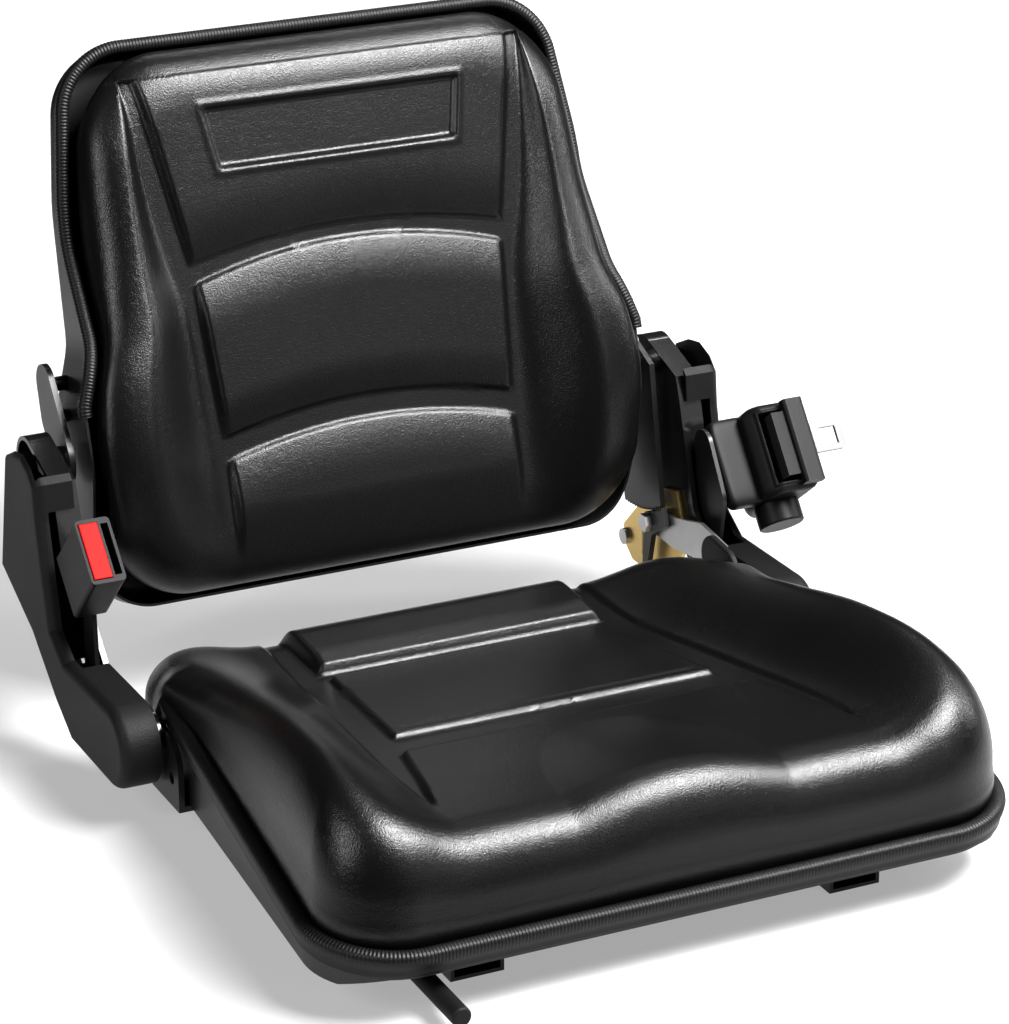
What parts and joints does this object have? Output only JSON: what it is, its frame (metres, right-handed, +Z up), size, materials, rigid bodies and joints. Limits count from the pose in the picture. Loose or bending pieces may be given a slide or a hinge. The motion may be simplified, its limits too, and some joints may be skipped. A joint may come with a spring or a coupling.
{
  "type": "tractor seat",
  "caption": "Black vinyl tractor seat on slide rails with a reclining padded back, arm covers, lap belt buckle and belt retractor.",
  "frame": {"origin": "centre of the four rail bolt holes, on the plane the slide rails are bolted to", "axes": "+Z up, +Y towards the backrest, the sitter faces -Y, +X to the sitter's left"},
  "size_m": [0.5825, 0.6493, 0.446],
  "materials": {
    "vinyl": "grained semi-gloss black vinyl",
    "edge_trim": "ribbed semi-gloss black edge trim",
    "black_steel": "satin black paint",
    "plated_steel": "dull zinc plate",
    "yellow_zinc": "yellow passivated zinc",
    "cover_plastic": "fine-grained matt black",
    "belt_plastic": "satin black",
    "red_plastic": "smooth red",
    "webbing": "woven black",
    "bright_metal": "bright"
  },
  "bodies": {
    "base": {"lower_rail_left": "black_steel", "lower_rail_right": "black_steel"},
    "seat": {"upper_rail_left": "black_steel", "upper_rail_right": "black_steel", "rail_balls_left": "plated_steel", "rail_balls_right": "plated_steel", "seat_pan": "black_steel", "pan_bolts": "plated_steel", "seat_cushion": "vinyl", "seat_trim": "edge_trim", "arm_bracket_left": "black_steel", "arm_bracket_right": "black_steel", "side_arm_left": "black_steel", "side_arm_right": "black_steel", "arm_bolts": "plated_steel", "pivot_pin_left": "plated_steel", "pivot_pin_right": "plated_steel", "arm_cover_left": "cover_plastic", "arm_cover_right": "cover_plastic", "cover_screws": "plated_steel", "pawl_bracket": "yellow_zinc", "pawl_bracket_bolts": "plated_steel", "pawl_pivot_bolt": "plated_steel", "stop_pin": "plated_steel", "pawl_spring": "plated_steel", "lever_bracket": "black_steel", "buckle_anchor_bolt": "plated_steel", "retractor_anchor_bolt": "plated_steel", "retractor_bracket": "black_steel", "retractor_housing": "belt_plastic", "spool_cap": "belt_plastic", "belt_webbing": "webbing", "tongue_body": "belt_plastic", "tongue_plate": "bright_metal"},
    "backrest": {"back_shell": "black_steel", "back_cushion": "vinyl", "back_trim": "edge_trim", "back_hinge_left": "black_steel", "recliner_sector": "black_steel", "hinge_bolts": "plated_steel"},
    "recline_release": {"recline_pawl": "black_steel", "recline_lever": "plated_steel", "recline_grip": "cover_plastic"},
    "slide_release": {"slide_lever": "black_steel", "slide_sleeve": "cover_plastic"},
    "buckle": {"buckle_stalk": "black_steel", "buckle_housing": "belt_plastic"},
    "buckle_press": {"buckle_button": "red_plastic"}
  },
  "joints": [
    {"name": "seat_slide", "type": "slide", "parent": "base", "child": "seat", "axis": [0, 1, 0], "range_m": [-0.075, 0.075]},
    {"name": "back_recline", "type": "hinge", "parent": "seat", "child": "backrest", "pos_m": [0, 0.296, 0.183], "axis": [1, 0, 0], "range_deg": [-18, 6]},
    {"name": "recline_lever_press", "type": "hinge", "parent": "seat", "child": "recline_release", "pos_m": [0.219, 0.262, 0.072], "axis": [1, 0, 0], "range_deg": [0, 10], "stiffness_Nm_per_rad": 1.5, "springref_deg": -20.05, "deforming": ["pawl_spring"]},
    {"name": "slide_lever_swing", "type": "hinge", "parent": "seat", "child": "slide_release", "pos_m": [-0.17, -0.04, 0.013], "axis": [0, 0, 1], "range_deg": [-6, 0], "stiffness_Nm_per_rad": 2, "springref_deg": 11.46},
    {"name": "buckle_swivel", "type": "hinge", "parent": "seat", "child": "buckle", "pos_m": [-0.235, 0.204, 0.062], "axis": [1, 0, 0], "range_deg": [0, 12]},
    {"name": "button_press", "type": "slide", "parent": "buckle", "child": "buckle_press", "axis": [0, 0.7071, -0.7071], "range_m": [0, 0.005], "stiffness_N_per_m": 600, "springref_m": -0.004}
  ]
}
